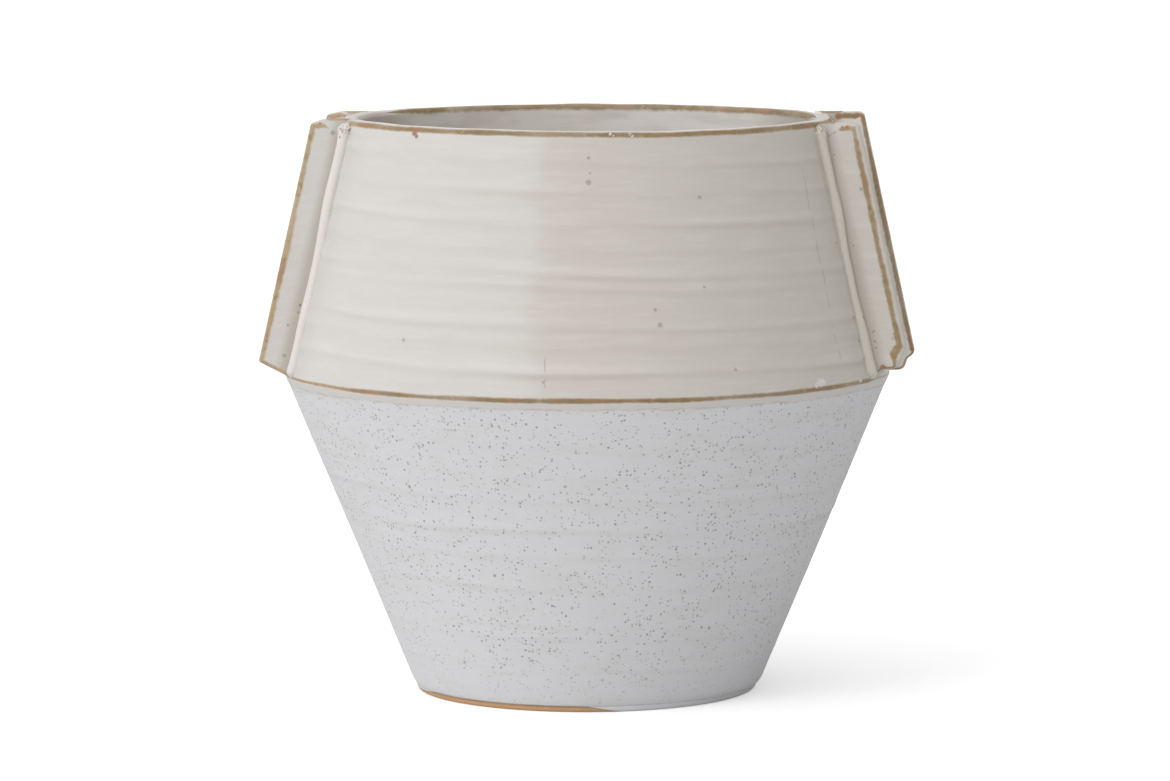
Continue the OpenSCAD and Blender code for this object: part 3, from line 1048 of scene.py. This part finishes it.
def glaze_ground(x, tone):
    """The glaze's colour, ivory on the left and more olive on the right, with painted light and shade inside
    the pot and on the back fins.
    """
    cloud = times(tone, 16.0, x)
    past = bend(times(tone, 3.0, x), -14.0, -5.0)
    ground = coats(
        IVORY,
        (bend(cloud, -60.0, 80.0), OLIVE_GREY),
        # Right of the middle the glaze is rosier and darker: partly the glaze's tone, partly the painted edge
        # of the lamp's soft reflection on the left
        (times(past, bend(cloud, 0.0, 45.0, 0.75, 0.2)), ROSE),
        (bend(x, -100.0, -90.0, 0.35, 0.0), ROSE))
    # Painted light inside: much paler than the glaze outside, lighter right of the middle where light from
    # the left falls, and painted darker beige at both ends as shade
    inner = coats(
        INSIDE_BEIGE,
        (bend(times(tone, 2.0, x), -8.0, 2.0), INSIDE_PALE),
        (bend(x, -79.0, -64.0, 0.6, 0.0), BEIGE),
        (bend(x, 46.0, 74.0, 0.0, 0.75), BEIGE))
    # The back fins are painted paler as light, against the shade between the fins
    return coats(ground, (attribute(x, "inside"), inner), (attribute(x, "painted_light"), INSIDE_PALE))


def thin_edge(place, x, ragged):
    """Share and colour of the brown of thin glaze, lighter at the far left and right, rusty in places."""
    edge = use(GLAZE_BREAK, Place=place, Distance=attribute(place, "edge_mm"),
               Width=attribute(place, "line_mm"), Ragged=ragged)
    fine = noise(place, 0.45)
    light = maths("ADD", bend(x, -86.0, -64.0, 0.8, 0.12), bend(x, 86.0, 96.0, 0.0, 0.2))
    brown = coats(
        TAN,
        (edge["Dark"], DARK_BROWN),
        (light, LIGHT_TAN),
        (bend(fine, 0.34, 0.46, 0.45, 0.0), DARK_BROWN),
        (bend(fine, 0.56, 0.68, 0.0, 0.4), LIGHT_TAN),
        (bend(noise(place, 0.08), 0.5, 0.7, 0.0, 0.7), RUST))
    return edge["Line"], brown


def make_satin_glaze():
    material, tree, shader = start_material("satin_glaze")
    place = place_mm(tree)
    x = split(place)[0]
    mottle = use(MOTTLE, Place=place, Scale=0.035, Flat=3.5)
    streak = noise(place, 0.06, 3.0, 0.6, STREAK)
    groove = attribute(place, "groove")
    pool_and_shade = attribute(place, "pool_and_shade")
    edge, brown = thin_edge(place, x, attribute(place, "ragged"))
    drips = spots(place, *on_wall(RUST_DRIPS), *on_fins(FIN_RUST))
    line = most(edge, drips)
    breaks_and_glints = spots(place, *on_wall(RIM_BREAKS_AND_GLINTS))
    crumbs = bend(noise(place, 2.4, 1.0), 0.4, 0.5)
    lumps = spots(place, *on_wall(PALE_LUMPS))
    pits = specks(place, scale=0.16, size=0.07, amount=0.12, clumping=0.2)
    placed = spots(place, *on_wall(GLAZE_MARKS + GROOVE_PITS), *on_fins(FIN_PITS))
    marks = most(placed, times(pits, 0.6), times(hairlines(place), 0.8))
    pinholes = specks(place, scale=0.3, size=0.2, amount=0.45, clumping=0.8)
    pinholes = times(pinholes, bend(most(groove, pool_and_shade), 0.55, 0.8))
    ground = coats(
        glaze_ground(x, mottle["Tone"]),
        (bend(mottle["Tint"], 0.45, 1.0, 0.0, 0.25), ROSE),
        (bend(streak, 0.45, 0.75, 0.0, 0.3), PALE),
        # Painted highlight along the crests of the throwing lines
        (bend(attribute(place, "crest"), 0.15, 1.0, 0.0, 0.35), PALE),
        # Painted shade just below each throwing line, stronger on the right
        (times(attribute(place, "line_shade"), bend(x, -50.0, 15.0, 0.1, 0.36)), BEIGE),
        # Painted shade beside the right coils, where they meet the wall
        (times(groove, 0.55), BEIGE),
        # Darker beige near the wall on the fins: pooled glaze with painted shade in the corner
        (bend(pool_and_shade, 0.0, 1.0, 0.0, 0.75), BEIGE),
        (line, brown),
        (times(drips, 0.8), RUST),
        # Gaps in the rim's brown line: darker fringes, and cream painted in the middle as glints
        (times(bend(breaks_and_glints, 0.05, 0.3), 0.6), DARK_BROWN),
        (times(bend(breaks_and_glints, 0.3, 0.7), crumbs), CREAM),
        (lumps, PALE),
        (times(marks, 0.5), PIT),
        (times(pinholes, 0.75), PIT))
    matt = times(line, 0.2, bend(mottle["Tone"], -1.0, 1.0, 0.36, 0.46))
    skin = noise(place, 0.35, 3.0, 0.5, (1.0, 1.0, 2.5))
    relief = ((skin, 0.35), (marks, -0.5), (line, -0.3), (lumps, 1.5), (pinholes, -1.0))
    surface(shader, ground, matt, relief, 0.25, 0.5)
    return material


def make_coil_glaze():
    material, tree, shader = start_material("coil_glaze")
    place = place_mm(tree)
    on_lump = bend(attribute(place, "lump"), 0.25, 0.7)
    blotch = noise(place, 0.55, 3.0, 0.6)
    crumbs = noise(place, 1.7)
    rust = times(bend(blotch, 0.54, 0.62), on_lump)
    dark_crumbs = times(bend(crumbs, 0.56, 0.62), on_lump)
    pale_crumbs = times(bend(crumbs, 0.36, 0.44, 1.0, 0.0), on_lump)
    pits = specks(place, scale=0.35, size=0.22, amount=0.14, clumping=0.6)
    ground = coats(
        COIL_PALE,
        (bend(split(place)[0], -40.0, 60.0), COIL_GREY),
        (times(rust, 0.75), tint(blotch, TAN, DARK_BROWN)),
        (times(dark_crumbs, 0.8), PIT),
        (times(pale_crumbs, 0.7), CREAM),
        (times(pits, 0.7), DARK_BROWN))
    matt = bend(blotch, 0.3, 0.7, 0.25, 0.42)
    surface(shader, ground, matt, ((blotch, 0.5), (pits, -1.0)), 0.3, 0.7)
    return material


def foot_band(place, x, foot):
    """Bare clay near the foot: a band on the left and in front that ends towards the right."""
    right_end = bend(x, 2.0, 26.0, 0.0, -3.2)
    left_end = bend(x, -58.0, -48.0, -1.0, 0.0)
    height = times(rag(place, 0.15, 3.0, 0.6), 0.5, foot)
    above = minus(height, maths("MINIMUM", right_end, left_end))
    edge = bend(maths("ABSOLUTE", above), 0.05, 0.4, 0.6, 0.0)
    return bend(above, -0.15, 0.2, 1.0, 0.0), edge


def make_matt_slip():
    material, tree, shader = start_material("matt_slip")
    place = place_mm(tree)
    x = split(place)[0]
    mottle = use(MOTTLE, Place=place, Scale=0.045, Flat=4.0)
    streak = noise(place, 0.06, 3.0, 0.6, STREAK)
    foot = attribute(place, "foot_mm")
    reach = times(rag(place, 0.12, 3.0, 0.6), 2.2, attribute(place, "overlap_mm"))
    glazed = bend(reach, OVERLAP_H - 0.5, OVERLAP_H + 0.3, 1.0, 0.0)
    glaze_end = maths("ABSOLUTE", minus(reach, OVERLAP_H - 0.35))
    broken = bend(noise(place, 0.2), 0.40, 0.60, 0.1, 0.45)
    fine = specks(place, scale=0.85, size=0.48, amount=0.40, clumping=2.4)
    coarse = specks(place, scale=0.24, size=0.20, amount=0.18, clumping=0.3)
    speckled = times(most(fine, coarse), bend(foot, 0.0, 28.0, 0.35, 1.0))
    speckled = times(speckled, minus(1.0, glazed))
    edge, brown = thin_edge(place, x, WALL_RAGGED)
    clay, clay_edge = foot_band(place, x, foot)
    ground = coats(
        SLIP_WHITE,
        (bend(mottle["Tint"], 0.5, 1.0, 0.0, 0.25), SLIP_WARM),
        (bend(streak, 0.45, 0.75, 0.0, 0.22), SLIP_LIGHT),
        # Painted highlight along the crests of the throwing lines
        (bend(attribute(place, "crest"), 0.2, 1.0, 0.0, 0.25), SLIP_LIGHT),
        # Painted shade just below each throwing line
        (bend(attribute(place, "line_shade"), 0.0, 1.0, 0.0, 0.12), BEIGE),
        (times(speckled, 0.85), tint(noise(place, 0.5, 1.0), SPECK_BROWN, SPECK_GREY)),
        (times(glazed, 0.75), OVERLAP_GREY),
        (times(bend(glaze_end, 0.1, 0.65, 1.0, 0.0), broken), OVERLAP_LINE),
        (edge, brown),
        (clay, CLAY_TAN),
        (clay_edge, CLAY_DARK))
    matt = bend(most(glazed, edge), 0.0, 1.0, 0.82, 0.5)
    grain = noise(place, 2.2, 3.0, 0.6)
    surface(shader, ground, matt, ((grain, 0.28), (speckled, -0.8)), 0.22, 0.55)
    feed(shader["Specular IOR Level"], 0.35)
    return material


def make_bare_clay():
    material, tree, shader = start_material("bare_clay")
    place = place_mm(tree)
    foot = attribute(place, "foot_mm")
    grog = specks(place, scale=0.9, size=0.4, amount=0.2, clumping=0.3)
    clay = coats(
        CLAY_TAN,
        (noise(place, 0.3, 3.0, 0.6), CLAY_LIGHT),
        (bend(foot, -0.9, -0.1, 0.0, 0.6), CLAY_DARK),
        (times(grog, 0.5), CLAY_DARK))
    band, band_edge = foot_band(place, split(place)[0], foot)
    ground = coats(SLIP_WHITE, (band, clay), (band_edge, CLAY_DARK))
    surface(shader, ground, 0.85, ((noise(place, 1.8, 3.0, 0.6), 1.0),), 0.25, 0.6)
    return material


# Camera, floor and light
CAMERA_PLACE = (0.1735, -1.9925, 0.311)
CAMERA_PITCH = 5.904
CAMERA_TURN = 5.0
CAMERA_LENS = 177.05
FLOOR_REACH = 30.0
FLOOR_GLOW = 0.4
LAMP_PLACE = (-1.3, -2.1, 2.1)
LAMP_AIM = (0, 0, 0.1)
LAMP_SIZE = 1.2
LAMP_POWER = 15.0
SKY_LEVEL = 0.79
SKY_LEFT = 0.53
SKY_FRONT = 0.26
SKY_ABOVE = 0.05
WHITE = colour(1, 1, 1)


def make_camera():
    data = bpy.data.cameras.new("camera")
    data.sensor_width = 36
    data.lens = CAMERA_LENS
    data.clip_end = 60
    camera = add("camera", data)
    camera.location = CAMERA_PLACE
    camera.rotation_euler = (math.radians(90 - CAMERA_PITCH), 0, math.radians(CAMERA_TURN))
    bpy.context.scene.camera = camera


def make_floor_plane():
    mesh = bpy.data.meshes.new("studio_floor")
    corners = [(x * FLOOR_REACH, y * FLOOR_REACH, 0) for x, y in ((-1, -1), (1, -1), (1, 1), (-1, 1))]
    mesh.from_pydata(corners, [], [(0, 1, 2, 3)])
    floor = add("studio_floor", mesh)
    material, tree, shader = start_material("studio_floor")
    feed(shader["Base Color"], colour(0.86, 0.86, 0.86))
    feed(shader["Roughness"], 0.9)
    feed(shader["Specular IOR Level"], 0.1)
    feed(shader["Emission Color"], WHITE)
    seen = put("ShaderNodeLightPath", {}, tree).outputs["Is Camera Ray"]
    feed(shader["Emission Strength"], times(seen, FLOOR_GLOW))
    floor.data.materials.append(material)


def make_light():
    """A white studio that is a little brighter on the left and above, and one soft lamp."""
    world = bpy.data.worlds.new("studio")
    world.use_nodes = True
    tree = world.node_tree
    tree.nodes.clear()
    path = put("ShaderNodeLightPath", {}, tree).outputs
    seen = most(path["Is Camera Ray"], path["Is Glossy Ray"], path["Is Transmission Ray"])
    way = put("ShaderNodeTexCoord", {}, tree).outputs["Generated"]
    slope = vectors("DOT_PRODUCT", way, (-SKY_LEFT, -SKY_FRONT, SKY_ABOVE))["Value"]
    level = maths("ADD", slope, SKY_LEVEL)
    soft = put("ShaderNodeBackground", {"Color": WHITE, "Strength": level})
    white = put("ShaderNodeBackground", {"Color": WHITE, "Strength": 1.0}, tree)
    mix = put("ShaderNodeMixShader", {0: seen, 1: soft.outputs[0], 2: white.outputs[0]})
    put("ShaderNodeOutputWorld", {"Surface": mix.outputs[0]})
    bpy.context.scene.world = world
    data = bpy.data.lights.new("window", "AREA")
    data.shape = "SQUARE"
    data.size = LAMP_SIZE
    data.energy = LAMP_POWER
    lamp = add("window", data)
    lamp.location = LAMP_PLACE
    aim = Vector(LAMP_AIM) - Vector(LAMP_PLACE)
    lamp.rotation_euler = aim.to_track_quat("-Z", "Y").to_euler()


def main():
    bpy.context.scene.view_settings.view_transform = "Standard"
    make_camera()
    make_floor_plane()
    make_light()
    glaze = make_satin_glaze()
    slip = make_matt_slip()
    clay = make_bare_clay()
    coil_glaze = make_coil_glaze()
    make_walls(glaze, slip)
    make_foot(clay)
    make_floor(slip)
    for name in FINS:
        make_fin(name, glaze)
        make_coil(name, 1, "outer", coil_glaze)
        make_coil(name, -1, "inner", coil_glaze)


main()
